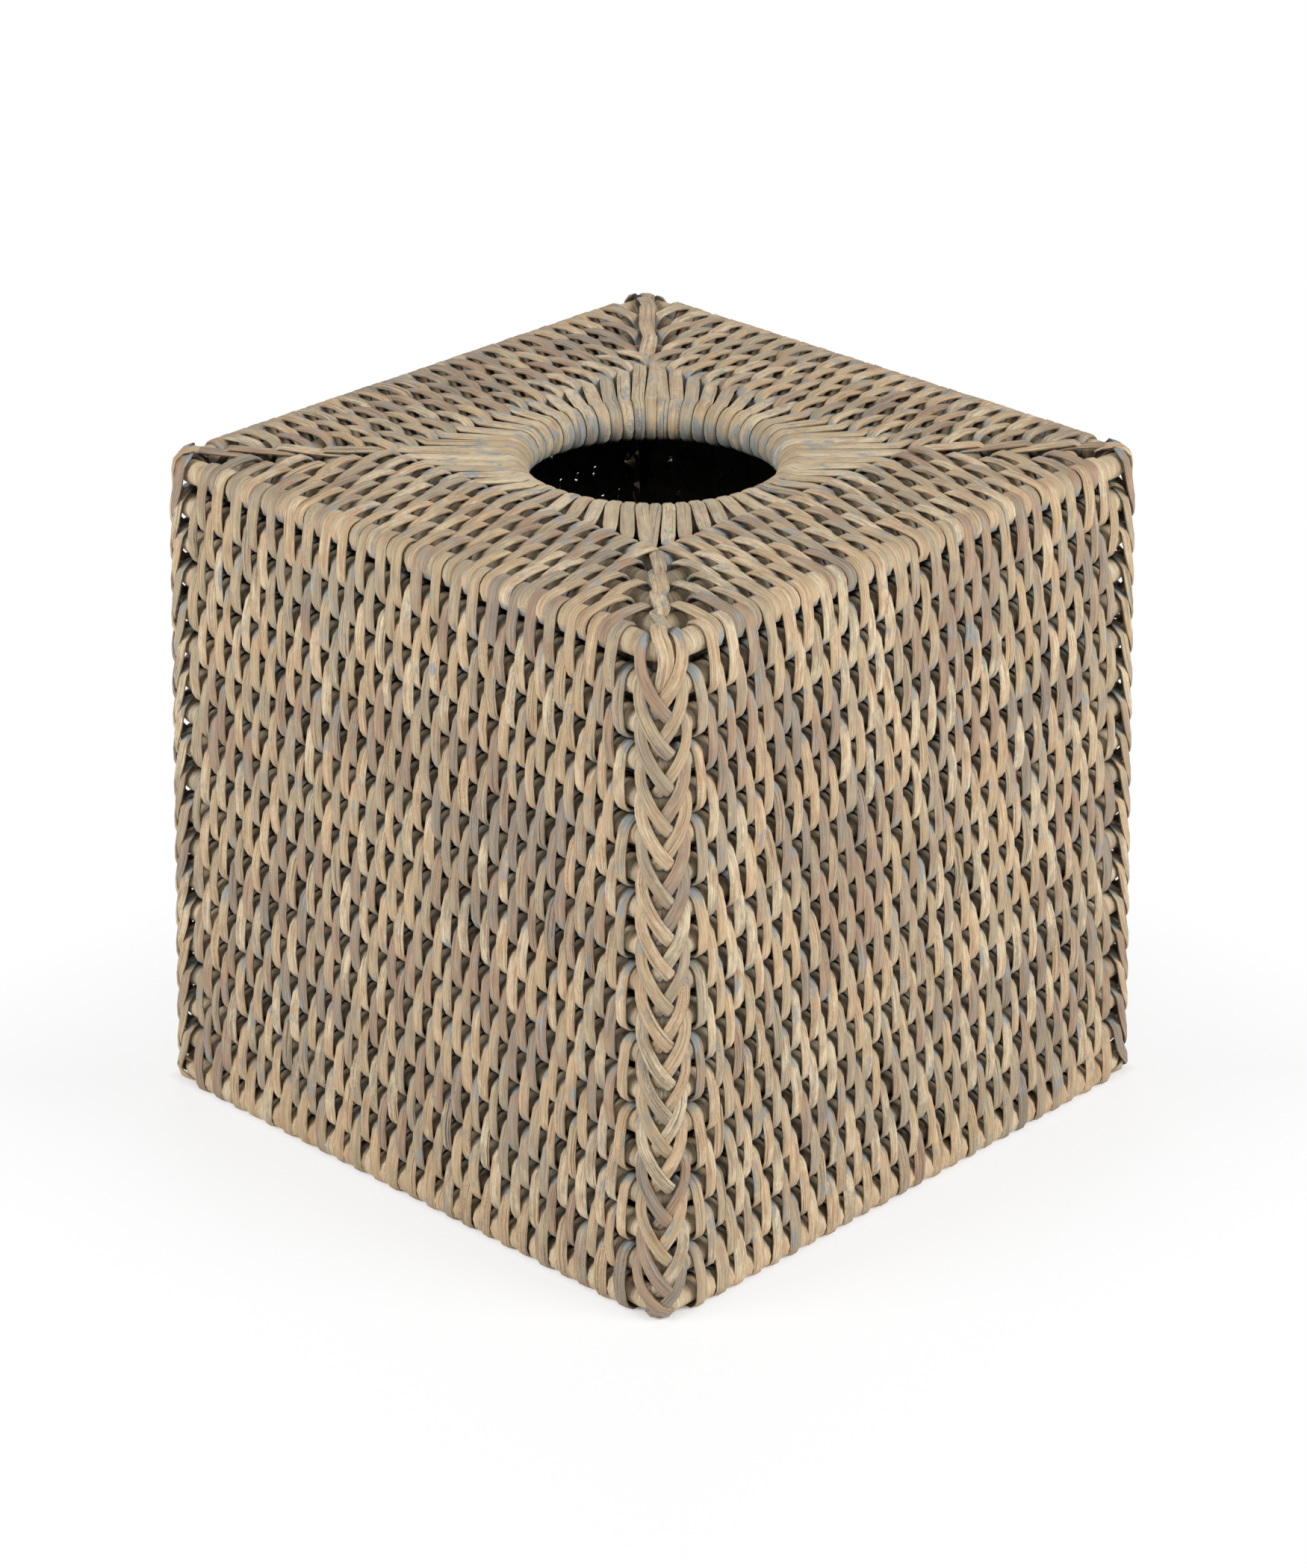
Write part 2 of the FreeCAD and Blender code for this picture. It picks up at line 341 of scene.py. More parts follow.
# Strap folded over the top corner: the same values, with its height from the edge cane
FOLD_ROUTE = (
    (-2.6, 2.2, -3.8, 0.9, 0.8), (-2.0, 3.1, -2.6, 0.3, 0.95), (-1.2, 3.4, -0.8, 0.0, 1.0),
    (-0.3, 2.9, 1.4, 0.0, 1.0), (0.5, 1.6, 2.7, 0.0, 1.0), (0.9, -0.3, 3.1, 0.0, 1.0),
    (0.9, -2.4, 3.0, 0.0, 1.0), (0.6, -4.6, 2.9, 0.1, 1.0), (0.2, -6.6, 2.8, 0.3, 0.9),
    (-0.2, -8.6, 2.6, 0.6, 0.7))


def fold_stations(draw):
    """Last strap of a mitre, folded over the edge cane's corner and in under a corner strap."""
    bend_centre = Vector((corner_bend - edge_half, corner_bend - edge_half, edge_z))
    wander = draw.uniform(-0.3, 0.3)
    stations = []
    for aside, height, out, dip, share in FOLD_ROUTE:
        spot, outward = corner_place((aside + wander) * MM, out * MM, height * MM)
        tilt = math.atan2(max(height, 0.0), max(out, 0.01))
        face = outward * math.cos(tilt) + Vector((0, 0, 1)) * math.sin(tilt)
        stations.append(Station(bend_centre + spot, face, mitre_width * share, dip))
    return stations


# Turns of an opening strap round the hoop and round the innermost cane, in degrees
LIP_TURNS = (285, 250, 220, 190, 165, 140, 117, 94, 74)
CANE_TURNS = (100, 65, 30, -15, -60, -95)
# How far out of reach the lip is, by the turn round the hoop
LIP_DIPS = ((72, 0.0), (130, 0.05), (165, 0.25), (210, 0.3), (250, 0.9), (285, 1.0))


def opening_stations(draw, number):
    """Opening strap of the front: under the hoop, in and over it, out across the innermost cane."""
    share = 2 * number / straps_per_side - 1
    swing = (math.atan(share) + share * math.pi / 4) / 2
    spread = (1 / (1 + share * share) + math.pi / 4) / straps_per_side
    outward = Vector((math.sin(swing), -math.cos(swing), 0))
    up = Vector((0, 0, 1))
    hoop_wrap = hoop_r + draw.uniform(0.02, 0.2) * MM
    cane_wrap = cane_r + draw.uniform(0.05, 0.15) * MM
    fill = draw.uniform(0.9, 0.98)
    sway = draw.uniform(-0.25, 0.25) * MM
    stations = []
    for turn in LIP_TURNS:
        angle = math.radians(turn)
        face = outward * math.cos(angle) + up * math.sin(angle)
        spot = outward * hoop_half + up * hoop_z + face * hoop_wrap
        width = min(widest_strap, fill * spread * (hoop_half + hoop_wrap * math.cos(angle)))
        stations.append(Station(spot, face, width, between(turn, LIP_DIPS)))
    end = Vector((share * (innermost_half - strap_end_inset) + sway, -innermost_half, edge_z))
    knee = end + Vector((0, knee_run, cane_wrap - knee_sink))
    crest = stations[-1].place
    for way in (0.2, 0.5, 0.8):
        spot = crest.lerp(knee, way)
        stations.append(Station(spot, up, mix(stations[-1].width, strap_spread, way), 0.0))
    stations.append(Station(knee, up, strap_spread * fill, 0.1))
    for turn in CANE_TURNS:
        angle = math.radians(turn)
        face = Vector((0, -math.cos(angle), math.sin(angle)))
        dip = max(0.0, min(1.0, (115 - turn) / 90))
        stations.append(Station(end + face * cane_wrap, face, strap_spread * fill, dip))
    return stations


# Node trees

def node(tree, kind, inputs=None, **settings):
    """Add a node, with its settings, and set or link its inputs by name or number."""
    made = tree.nodes.new(kind)
    for key, value in settings.items():
        setattr(made, key, value)
    for key, value in (inputs or {}).items():
        if isinstance(value, bpy.types.NodeSocket):
            tree.links.new(value, made.inputs[key])
        else:
            made.inputs[key].default_value = value
    return made


def calc(tree, operation, first, second=0.0):
    return node(tree, "ShaderNodeMath", {0: first, 1: second}, operation=operation).outputs[0]


def vector_of(tree, x=0.0, y=0.0, z=0.0):
    return node(tree, "ShaderNodeCombineXYZ", {0: x, 1: y, 2: z}).outputs[0]


def vector_calc(tree, operation, first, second):
    return node(tree, "ShaderNodeVectorMath", {0: first, 1: second}, operation=operation).outputs[0]


def scaled(tree, vector, by):
    return node(tree, "ShaderNodeVectorMath", {0: vector, "Scale": by}, operation="SCALE").outputs[0]


def parts_of(tree, vector):
    return node(tree, "ShaderNodeSeparateXYZ", {0: vector}).outputs


def position(tree):
    return node(tree, "GeometryNodeInputPosition").outputs[0]


def store(tree, geometry, name, value, kind="FLOAT", domain="POINT"):
    """Geometry that keeps a value under a name."""
    return node(tree, "GeometryNodeStoreNamedAttribute", {
        "Geometry": geometry, "Name": name, "Value": value}, data_type=kind, domain=domain).outputs[0]


def stored(tree, name, kind="FLOAT"):
    return node(tree, "GeometryNodeInputNamedAttribute", {"Name": name}, data_type=kind).outputs[0]


def new_tree(name, kind, inputs, outputs):
    """Node tree with named inputs and outputs; gives the tree, its inputs and its end node."""
    tree = bpy.data.node_groups.new(name, kind)
    for label, socket in inputs:
        tree.interface.new_socket(name=label, in_out="INPUT", socket_type="NodeSocket" + socket)
    for label, socket in outputs:
        tree.interface.new_socket(name=label, in_out="OUTPUT", socket_type="NodeSocket" + socket)
    return tree, tree.nodes.new("NodeGroupInput").outputs, tree.nodes.new("NodeGroupOutput")


def bent_cane_tree():
    """Round cane bent into a ring of four equal sides, or all the way into a hoop.

    The lines of its finish run round it.
    """
    tree, given, end = new_tree("Bent cane", "GeometryNodeTree", [
        ("Half width", "Float"), ("Height", "Float"), ("Bend", "Float"), ("Radius", "Float"),
        ("Bend steps", "Int"), ("Sides", "Int"), ("Finish", "Material"), ("Tone", "Float"),
    ], [("Cane", "Geometry")])
    width = calc(tree, "MULTIPLY", given["Half width"], 2.0)
    square = node(tree, "GeometryNodeCurvePrimitiveQuadrilateral", {"Width": width, "Height": width},
                  mode="RECTANGLE")
    route = node(tree, "GeometryNodeFilletCurve", {
        "Curve": square.outputs[0], "Count": given["Bend steps"], "Radius": given["Bend"],
        "Limit Radius": True}, mode="POLY")
    run = node(tree, "GeometryNodeSplineParameter").outputs["Length"]
    route = store(tree, route.outputs[0], "run", run)
    rod = node(tree, "GeometryNodeCurvePrimitiveCircle", {
        "Resolution": given["Sides"], "Radius": given["Radius"]})
    rod = store(tree, rod.outputs[0], "spot", position(tree), "FLOAT_VECTOR")
    cane = node(tree, "GeometryNodeCurveToMesh", {"Curve": route, "Profile Curve": rod}).outputs[0]
    spot = parts_of(tree, stored(tree, "spot", "FLOAT_VECTOR"))
    grain = vector_of(tree, spot[0], stored(tree, "run"), calc(tree, "MULTIPLY", spot[1], 0.04))
    cane = store(tree, cane, "grain", grain, "FLOAT_VECTOR")
    # The upward share of the normal, kept for the painted shade under the canes
    facing = parts_of(tree, node(tree, "GeometryNodeInputNormal").outputs[0])
    for name, value in (("tone", given["Tone"]), ("facing_up", facing[2])):
        cane = store(tree, cane, name, value)
    cane = node(tree, "GeometryNodeTransform", {
        "Geometry": cane, "Translation": vector_of(tree, z=given["Height"])})
    cane = node(tree, "GeometryNodeSetShadeSmooth", {"Geometry": cane.outputs[0], "Shade Smooth": True})
    cane = node(tree, "GeometryNodeRealizeInstances", {"Geometry": cane.outputs[0]})
    cane = node(tree, "GeometryNodeSetMaterial", {
        "Geometry": cane.outputs[0], "Material": given["Finish"]})
    tree.links.new(cane.outputs[0], end.inputs[0])
    return tree


def woven_rows_tree():
    """Rows of strands, set half a space aside on every other row.
    """
    tree, given, end = new_tree("Woven rows", "GeometryNodeTree", [
        ("Strands", "Collection"), ("Kinds", "Int"), ("Rows", "Int"), ("Columns", "Int"),
        ("Spacing", "Float"), ("First row", "Vector"), ("Row step", "Vector"), ("Spread", "Float"),
        ("Reach", "Float"), ("Reach step", "Float"), ("Turn", "Vector"), ("Sideways play", "Float"),
        ("Slant play", "Float"), ("Width play", "Float"), ("Fold under", "Vector"),
        ("First rows", "Int"), ("Last rows", "Int"), ("Quarter", "Float"), ("Seed", "Int"),
        ("Finish", "Material"),
    ], [("Weave", "Geometry")])

    def chance(low, high, salt):
        seed = calc(tree, "ADD", given["Seed"], float(salt))
        return node(tree, "FunctionNodeRandomValue", {2: low, 3: high, 8: seed},
                    data_type="FLOAT").outputs[1]

    # Where the strands lie
    last_column = calc(tree, "SUBTRACT", given["Columns"], 1.0)
    last_row = calc(tree, "SUBTRACT", given["Rows"], 1.0)
    grid = node(tree, "GeometryNodeMeshGrid", {
        "Size X": calc(tree, "MULTIPLY", last_column, given["Spacing"]), "Size Y": last_row,
        "Vertices X": given["Columns"], "Vertices Y": given["Rows"]})
    place = parts_of(tree, position(tree))
    row = calc(tree, "ADD", place[1], calc(tree, "MULTIPLY", last_row, 0.5))
    row = calc(tree, "ROUND", row)
    odd = calc(tree, "MODULO", row, 2.0)
    aside = calc(tree, "MULTIPLY", odd, calc(tree, "MULTIPLY", given["Spacing"], 0.5))
    growth = calc(tree, "ADD", calc(tree, "MULTIPLY", row, given["Spread"]), 1.0)
    sideways = calc(tree, "MULTIPLY", calc(tree, "ADD", place[0], aside), growth)
    reach = calc(tree, "ADD", given["Reach"], calc(tree, "MULTIPLY", row, given["Reach step"]))
    too_far = calc(tree, "GREATER_THAN", calc(tree, "ABSOLUTE", sideways), reach)
    spots = store(tree, grid.outputs[0], "odd", odd)
    spots = store(tree, spots, "row", row)
    spots = node(tree, "GeometryNodeDeleteGeometry", {"Geometry": spots, "Selection": too_far},
                 domain="POINT")
    play = calc(tree, "MULTIPLY", given["Sideways play"], chance(-1.0, 1.0, 1))
    spot = vector_of(tree, x=calc(tree, "ADD", sideways, play))
    spot = vector_calc(tree, "ADD", spot, scaled(tree, given["Row step"], row))
    spot = vector_calc(tree, "ADD", spot, given["First row"])
    spots = node(tree, "GeometryNodeSetPosition", {"Geometry": spots.outputs[0], "Position": spot})

    kit = node(tree, "GeometryNodeCollectionInfo", {
        "Collection": given["Strands"], "Separate Children": True, "Reset Children": True})
    pairs = calc(tree, "MULTIPLY", given["Kinds"], 0.5)
    pick = calc(tree, "FLOOR", calc(tree, "MULTIPLY", pairs, chance(0.0, 0.999, 2)))
    pick = calc(tree, "ADD", calc(tree, "MULTIPLY", pick, 2.0), stored(tree, "odd"))
    own_row = stored(tree, "row")
    is_first = calc(tree, "LESS_THAN", own_row, given["First rows"])
    is_last = calc(tree, "GREATER_THAN", own_row, calc(tree, "SUBTRACT", last_row, given["Last rows"]))
    sets_before = calc(tree, "ADD", calc(tree, "GREATER_THAN", given["First rows"], 0.0), 1.0)
    other_kit = calc(tree, "ADD", is_first, calc(tree, "MULTIPLY", is_last, sets_before))
    pick = calc(tree, "ADD", pick, calc(tree, "MULTIPLY", other_kit, given["Kinds"]))
    turn = node(tree, "FunctionNodeEulerToRotation", {0: given["Turn"]})
    slant = calc(tree, "MULTIPLY", given["Slant play"], chance(-1.0, 1.0, 3))
    slant = node(tree, "FunctionNodeAxisAngleToRotation", {"Axis": (0.0, 1.0, 0.0), "Angle": slant})
    turn = node(tree, "FunctionNodeRotateRotation", {0: turn.outputs[0], 1: slant.outputs[0]},
                rotation_space="LOCAL")
    wide = calc(tree, "MULTIPLY", given["Width play"], chance(-1.0, 1.0, 4))
    scale = vector_of(tree, calc(tree, "ADD", wide, 1.0), 1.0, 1.0)
    weave = node(tree, "GeometryNodeInstanceOnPoints", {
        "Points": spots.outputs[0], "Instance": kit.outputs[0], "Pick Instance": True,
        "Instance Index": pick, "Rotation": turn.outputs[0], "Scale": scale}).outputs[0]

    # Tone and wear drift along a row, and differ a little from stitch to stitch
    along = calc(tree, "MULTIPLY", parts_of(tree, position(tree))[0], 20.0)
    run = vector_of(tree, along, calc(tree, "MULTIPLY", own_row, 7.3), given["Seed"])
    drift = node(tree, "ShaderNodeTexNoise", {"Vector": run, "Scale": 1.0, "Detail": 1.0}).outputs
    run_tone = calc(tree, "MULTIPLY", calc(tree, "SUBTRACT", drift[0], 0.5), 3.0)
    tone = calc(tree, "ADD", calc(tree, "ADD", run_tone, 0.5), chance(-0.3, 0.3, 5))
    run_wear = calc(tree, "SUBTRACT", parts_of(tree, drift[1])[1], 0.5)
    run_wear = calc(tree, "MULTIPLY", run_wear, 2.5)
    wear = calc(tree, "ADD", calc(tree, "ADD", run_wear, 0.4), chance(-0.3, 0.3, 6))
    for name, value in (("tone", tone), ("wear", wear)):
        weave = store(tree, weave, name, value, domain="INSTANCE")
    weave = node(tree, "GeometryNodeRealizeInstances", {"Geometry": weave})

    # What would reach below the floor folds in under the rim
    height = parts_of(tree, position(tree))[2]
    below = calc(tree, "MAXIMUM", calc(tree, "MULTIPLY", height, -1.0), 0.0)
    fold = vector_calc(tree, "ADD", scaled(tree, given["Fold under"], below), vector_of(tree, z=below))
    weave = node(tree, "GeometryNodeSetPosition", {"Geometry": weave.outputs[0], "Offset": fold})
    turn = vector_of(tree, z=calc(tree, "MULTIPLY", given["Quarter"], math.pi / 2))
    weave = node(tree, "GeometryNodeTransform", {"Geometry": weave.outputs[0], "Rotation": turn})
    weave = node(tree, "GeometryNodeSetMaterial", {
        "Geometry": weave.outputs[0], "Material": given["Finish"]})
    tree.links.new(weave.outputs[0], end.inputs[0])
    return tree


def grown(name, tree, values):
    """Piece made by a node tree, as a plain mesh."""
    piece = bpy.data.objects.new(name, bpy.data.meshes.new(name))
    maker = piece.modifiers.new("maker", "NODES")
    maker.node_group = tree
    for item in tree.interface.items_tree:
        if item.in_out == "INPUT":
            maker[item.identifier] = values[item.name]
    scene.collection.objects.link(piece)
    graph = bpy.context.evaluated_depsgraph_get()
    mesh = bpy.data.meshes.new_from_object(piece.evaluated_get(graph), preserve_all_data_layers=True,
                                           depsgraph=graph)
    piece.modifiers.remove(maker)
    piece.data = mesh
    mesh.name = name
    return piece


def stands_for(piece, node_name):
    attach(piece, "root")
    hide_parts(node_name)


# Finishes

GREY_TAUPE = (0.33, 0.27, 0.205, 1)
ROSE_BROWN = (0.41, 0.272, 0.182, 1)
DRY_BEIGE = (0.43, 0.35, 0.243, 1)
SAND = (0.535, 0.412, 0.258, 1)
PEACH = (0.585, 0.41, 0.248, 1)
CREAM = (0.69, 0.565, 0.38, 1)
WARM = (0.47, 0.30, 0.175, 1)
LIMEWASH = (0.25, 0.275, 0.28, 1)
# Dark of the pores and splits, and also the painted shade down a strand's cut sides
GROOVE_AND_SHADE = (0.05, 0.033, 0.02, 1)
SHADE = (0.06, 0.043, 0.027, 1)


def fibre_group():
    """Fine lines, rows of pores, splits, and patches of tone, wash and warmth, along the grain."""
    tree, given, end = new_tree("Rattan fibre", "ShaderNodeTree", [
        ("Grain", "Vector"), ("Offset", "Float"), ("Wear", "Float"),
    ], [("Streak", "Float"), ("Pores", "Float"), ("Split", "Float"), ("Tone patch", "Float"),
        ("Wash patch", "Float"), ("Warm patch", "Float")])
    shift = vector_of(tree, x=calc(tree, "MULTIPLY", given["Offset"], 3.7),
                      y=calc(tree, "MULTIPLY", given["Offset"], 0.37))
    grain = vector_calc(tree, "ADD", given["Grain"], shift)

    def noise(stretch, detail, roughness=0.5):
        spot = vector_calc(tree, "MULTIPLY", grain, stretch)
        return node(tree, "ShaderNodeTexNoise", {
            "Vector": spot, "Scale": 1.0, "Detail": detail, "Roughness": roughness}).outputs

    def above(value, low, high):
        return node(tree, "ShaderNodeMapRange", {
            0: value, 1: low, 2: high, 3: 0.0, 4: 1.0}, interpolation_type="SMOOTHSTEP").outputs[0]

    def worn(level, ease):
        return calc(tree, "SUBTRACT", level, calc(tree, "MULTIPLY", given["Wear"], ease))

    streak = noise((110.0, 3600.0, 3600.0), 4.0, 0.75)[0]
    pore_lines = above(noise((45.0, 3900.0, 3900.0), 0.0)[0], worn(0.79, 0.24), worn(0.86, 0.24))
    dots = above(noise((2900.0, 6500.0, 6500.0), 2.0)[0], 0.5, 0.64)
    pores = calc(tree, "MULTIPLY", pore_lines, dots)
    split = above(noise((38.0, 3600.0, 3600.0), 2.0)[0], worn(0.71, 0.1), worn(0.75, 0.1))
    patches = parts_of(tree, noise((190.0, 420.0, 420.0), 3.0, 0.65)[1])
    for number, value in enumerate((streak, pores, split, patches[0], patches[1], patches[2])):
        tree.links.new(value, end.inputs[number])
    return tree


def attribute(tree, name, output="Fac"):
    return node(tree, "ShaderNodeAttribute", attribute_name=name).outputs[output]


def ramped(tree, value, low, high, start=0.0, stop=1.0):
    return node(tree, "ShaderNodeMapRange", {0: value, 1: low, 2: high, 3: start, 4: stop}).outputs[0]


def blend(tree, share, first, second):
    return node(tree, "ShaderNodeMix", {0: share, 6: first, 7: second}, data_type="RGBA").outputs[2]


def from_middle(tree):
    """How far a spot is from the middle, to either side and to the front or back."""
    spot = parts_of(tree, node(tree, "ShaderNodeTexCoord").outputs["Object"])
    return calc(tree, "ABSOLUTE", spot[0]), calc(tree, "ABSOLUTE", spot[1])


def cane_painted_shade(tree, colour):
    """Painted shade on a cane: darker behind the weave and darkest on its underside; where it shows
    bare at the corners it keeps its own colour.
    """
    near = calc(tree, "MINIMUM", *from_middle(tree))
    # Painted shade, darkest where the cane faces down
    underside_shade = ramped(tree, attribute(tree, "facing_up"), -0.5, 0.3, 0.03, 0.56)
    shade_scale = ramped(tree, near, edge_half - 14 * MM, edge_half - 8 * MM, underside_shade, 1.0)
    return scaled(tree, colour, shade_scale)


def rattan(name, fibre, tones, wash, lines, flat=True):
    """Rattan: its tones, lines and pores, and limewash left where it dips out of reach.

    Wash is how much more limewash stays on it, and lines how strongly its fibre lines show.
    A flat strand gets painted shade down its cut sides and underneath; a round cane has none there, and
    gets painted shade behind the weave instead.
    """
    material = bpy.data.materials.new(name)
    material.use_nodes = True
    tree = material.node_tree
    shader = tree.nodes["Principled BSDF"]
    tone = attribute(tree, "tone")
    wear = attribute(tree, "wear")
    dip = attribute(tree, "dip")
    grain = attribute(tree, "grain", "Vector")
    offset = calc(tree, "ADD", calc(tree, "MULTIPLY", tone, 13.0), wear)
    look = node(tree, "ShaderNodeGroup", node_tree=fibre)
    for label, value in (("Grain", grain), ("Offset", offset), ("Wear", wear)):
        tree.links.new(value, look.inputs[label])
    streak, pores, split, toned, washy, warm = (look.outputs[number] for number in range(6))

    # Tones, with warm patches and fibre lines
    shade = calc(tree, "ADD", tone, calc(tree, "MULTIPLY", calc(tree, "SUBTRACT", toned, 0.5), 0.9))
    ramp = node(tree, "ShaderNodeValToRGB", {0: shade})
    stops = ramp.color_ramp.elements
    while len(stops) < len(tones):
        stops.new(0.5)
    for number, colour in enumerate(tones):
        stops[number].position = number / (len(tones) - 1)
        stops[number].color = colour
    colour = blend(tree, ramped(tree, warm, 0.51, 0.67, 0.0, 0.7), ramp.outputs[0], WARM)
    colour = scaled(tree, colour, ramped(tree, streak, 0.3, 0.7, 1.0 - lines, 1.0 + 0.6 * lines))

    # Limewash in the dips and in patches, and shade where the strand goes out of sight
    lined = calc(tree, "MULTIPLY", calc(tree, "SUBTRACT", streak, 0.5), 0.35)
    patchy = calc(tree, "ADD", washy, lined)
    reach = calc(tree, "ADD", calc(tree, "MULTIPLY", dip, 0.38), patchy)
    washed = ramped(tree, reach, 0.62 - wash, 0.68 - wash, 0.0, 0.85)
    limewash = scaled(tree, LIMEWASH[:3], ramped(tree, streak, 0.3, 0.7, 0.8, 1.45))
    colour = blend(tree, washed, colour, limewash)
    colour = blend(tree, ramped(tree, dip, 0.85, 1.0, 0.0, 0.8), colour, SHADE)

    # Dark pores and splits; painted shade down a strand's cut sides and underneath, or on a cane behind
    # the weave
    colour = blend(tree, calc(tree, "MULTIPLY", pores, 0.55), colour, GROOVE_AND_SHADE)
    colour = blend(tree, calc(tree, "MULTIPLY", split, 0.65), colour, GROOVE_AND_SHADE)
    if flat:
        # Painted shade: darker from the shoulder down the cut side to the bottom edge
        rise = parts_of(tree, grain)[2]
        side_shade = ramped(tree, rise, 0.1 * strand_thickness, 0.6 * strand_thickness, 0.45, 0.0)
        colour = blend(tree, side_shade, colour, GROOVE_AND_SHADE)
    else:
        colour = cane_painted_shade(tree, colour)

    tree.links.new(colour, shader.inputs["Base Color"])
    tree.links.new(ramped(tree, streak, 0.2, 0.8, 0.75, 0.5), shader.inputs["Roughness"])
    sunk = calc(tree, "ADD", split, pores)
    height = calc(tree, "SUBTRACT", calc(tree, "MULTIPLY", streak, 0.7), sunk)
    bump = node(tree, "ShaderNodeBump", {"Strength": 0.5, "Distance": 0.15 * MM, "Height": height})
    tree.links.new(bump.outputs[0], shader.inputs["Normal"])
    shader.inputs["Specular IOR Level"].default_value = 0.3
    return material


fibre = fibre_group()
STRAND_TONES = (GREY_TAUPE, ROSE_BROWN, DRY_BEIGE, SAND, PEACH, CREAM, DRY_BEIGE)
strand_finish = rattan("limewashed_strand", fibre, STRAND_TONES, 0.0, 0.5)
rim_finish = rattan("tan_rim_strand", fibre, (PEACH, CREAM, PEACH, CREAM), -0.12, 0.3)
opening_finish = rattan("opening_strap", fibre, (DRY_BEIGE, SAND, CREAM, DRY_BEIGE), 0.04, 0.3)
corner_finish = rattan("corner_strap", fibre, STRAND_TONES, -0.02, 0.5)
cane_finish = rattan("bare_cane", fibre, (DRY_BEIGE, SAND, CREAM, DRY_BEIGE), -0.3, 0.6, flat=False)


# Canes

def make_canes():
    tree = bent_cane_tree()
    draw = random.Random(11)
    for name in ["top_edge_cane", "bottom_rim_cane", "opening_hoop"] + TOP_CANES + WALL_CANES:
        half, height, radius = ring_of(name)
        round_hoop = name == "opening_hoop"
        cane = grown("fibrous_" + name, tree, {
            "Half width": half, "Height": height, "Radius": radius,
            "Bend": half if round_hoop else corner_bend, "Bend steps": 16 if round_hoop else 6,
            "Sides": 14, "Finish": cane_finish, "Tone": draw.random()})
        stands_for(cane, name)


# Lacing of the walls and the top

def make_lacing(rows_tree):
    draw = random.Random(5)
    kinds = 10
    wrap_kinds = 6
    plain, at_edge, at_rim = (False, False), (True, False), (False, True)
    wall_kit = strand_kit("wall_stitch", [
        strand_mesh("wall_stitch", [stitch_stations(wall_pitch, draw, *place)])
        for place in [plain] * kinds + [at_edge] * kinds + [at_rim] * kinds])
    top_kit = strand_kit("top_stitch", [
        strand_mesh("top_stitch", [stitch_stations(top_pitch, draw, *place)])
        for place in [plain] * kinds + [at_edge] * kinds])
    rim_kit = strand_kit("rim_wrap", [
        strand_mesh("rim_wrap", [wrap_stations(draw)]) for _ in range(wrap_kinds)])
    columns = 2 * int(edge_half / stitch_spacing) + 1
    first_wall_row = Vector((0, -edge_half - row_growth / 2, edge_z - wall_pitch / 2))
    first_top_row = Vector((0, -innermost_half - top_pitch / 2, edge_z))
    for quarter, side in enumerate(SIDES):
        shared = {"Columns": columns, "Spacing": stitch_spacing, "Quarter": quarter,
                  "Fold under": Vector((0, 1, 0)),
                  "Sideways play": 0.35 * MM, "Slant play": math.radians(3.5), "Width play": 0.14}
        wall = grown("stitches_wall_" + side, rows_tree, dict(shared, **{
            "Strands": wall_kit, "Kinds": kinds, "Rows": wall_rows, "First row": first_wall_row,
            "Row step": Vector((0, -row_growth, -wall_pitch)), "Spread": row_growth / edge_half,
            "Reach": edge_half - corner_zone, "Reach step": row_growth,
            "Turn": Vector((-wall_lean, 0, 0)), "First rows": 1, "Last rows": 1,
            "Seed": 100 + quarter, "Finish": strand_finish}))
        stands_for(wall, "wall_lacing_" + side)
        top = grown("stitches_top_" + side, rows_tree, dict(shared, **{
            "Strands": top_kit, "Kinds": kinds, "Rows": len(TOP_CANES), "First row": first_top_row,
            "Row step": Vector((0, -top_pitch, 0)), "Spread": 0.0,
            "Reach": innermost_half - mitre_zone, "Reach step": top_pitch,
            "Turn": Vector((-math.pi / 2, 0, math.pi)), "First rows": 0, "Last rows": 1,
            "Seed": 200 + quarter, "Finish": strand_finish}))
        stands_for(top, "top_lacing_" + side)
        # The rim's wraps lie between the stitches of the last row
        wraps = grown("wraps_rim_" + side, rows_tree, dict(shared, **{
            "Strands": rim_kit, "Kinds": wrap_kinds, "Rows": 1, "Columns": columns - wall_rows % 2,
            "Spacing": stitch_spacing * rim_half / edge_half,
            "First row": Vector((0, -rim_half, rim_z)), "Row step": Vector((0, 0, 0)), "Spread": 0.0,
            "Reach": rim_half - corner_zone, "Reach step": 0.0, "Turn": Vector((0, 0, 0)),
            "First rows": 0, "Last rows": 0, "Seed": 300 + quarter, "Finish": rim_finish}))
        stands_for(wraps, "rim_wraps_" + side)


# Corner braids, mitre straps and the opening's wrap

def place_made(name, mesh, quarter, finish):
    """Piece from a mesh made for the front, turned to its side."""
    mesh.transform(Matrix.Rotation(quarter * math.pi / 2, 4, "Z"))
    mesh.name = name
    mesh.materials.append(finish)
    piece = bpy.data.objects.new(name, mesh)
    scene.collection.objects.link(piece)
    return piece


